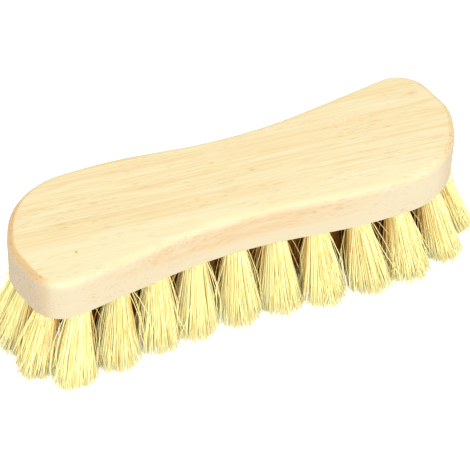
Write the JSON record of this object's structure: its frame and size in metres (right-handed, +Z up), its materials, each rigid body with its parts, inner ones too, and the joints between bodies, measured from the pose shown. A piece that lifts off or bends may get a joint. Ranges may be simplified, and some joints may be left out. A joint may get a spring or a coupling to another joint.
{
  "type": "scrub brush",
  "caption": "Hand scrub brush: an S-shaped wooden block with stiff plant-fibre tufts set in drilled holes.",
  "frame": {"origin": "under the middle of the block, in the plane of the bristle tips", "axes": "+X along the block's length and grain, +Y across it, +Z up, out of the block's flat back"},
  "size_m": [0.223, 0.0908, 0.0595],
  "materials": {
    "block_wood": "sanded, untreated pale hardwood",
    "bristle_fibre": "natural cream plant fibre",
    "anchor_wire": "flat steel wire"
  },
  "bodies": {
    "root": {"block": "block_wood", "anchors": "anchor_wire", "rim_tuft_01": "bristle_fibre", "rim_tuft_02": "bristle_fibre", "rim_tuft_03": "bristle_fibre", "rim_tuft_04": "bristle_fibre", "rim_tuft_05": "bristle_fibre", "rim_tuft_06": "bristle_fibre", "rim_tuft_07": "bristle_fibre", "rim_tuft_08": "bristle_fibre", "rim_tuft_09": "bristle_fibre", "rim_tuft_10": "bristle_fibre", "rim_tuft_11": "bristle_fibre", "rim_tuft_12": "bristle_fibre", "rim_tuft_13": "bristle_fibre", "rim_tuft_14": "bristle_fibre", "rim_tuft_15": "bristle_fibre", "rim_tuft_16": "bristle_fibre", "rim_tuft_17": "bristle_fibre", "rim_tuft_18": "bristle_fibre", "rim_tuft_19": "bristle_fibre", "rim_tuft_20": "bristle_fibre", "rim_tuft_21": "bristle_fibre", "rim_tuft_22": "bristle_fibre", "rim_tuft_23": "bristle_fibre", "rim_tuft_24": "bristle_fibre", "rim_tuft_25": "bristle_fibre", "rim_tuft_26": "bristle_fibre", "inner_tuft_01": "bristle_fibre", "inner_tuft_02": "bristle_fibre", "inner_tuft_03": "bristle_fibre", "inner_tuft_04": "bristle_fibre", "inner_tuft_05": "bristle_fibre", "inner_tuft_06": "bristle_fibre", "inner_tuft_07": "bristle_fibre", "inner_tuft_08": "bristle_fibre", "inner_tuft_09": "bristle_fibre", "inner_tuft_10": "bristle_fibre", "inner_tuft_11": "bristle_fibre", "inner_tuft_12": "bristle_fibre", "inner_tuft_13": "bristle_fibre", "inner_tuft_14": "bristle_fibre", "inner_tuft_15": "bristle_fibre", "inner_tuft_16": "bristle_fibre", "inner_tuft_17": "bristle_fibre", "inner_tuft_18": "bristle_fibre"}
  },
  "joints": []
}
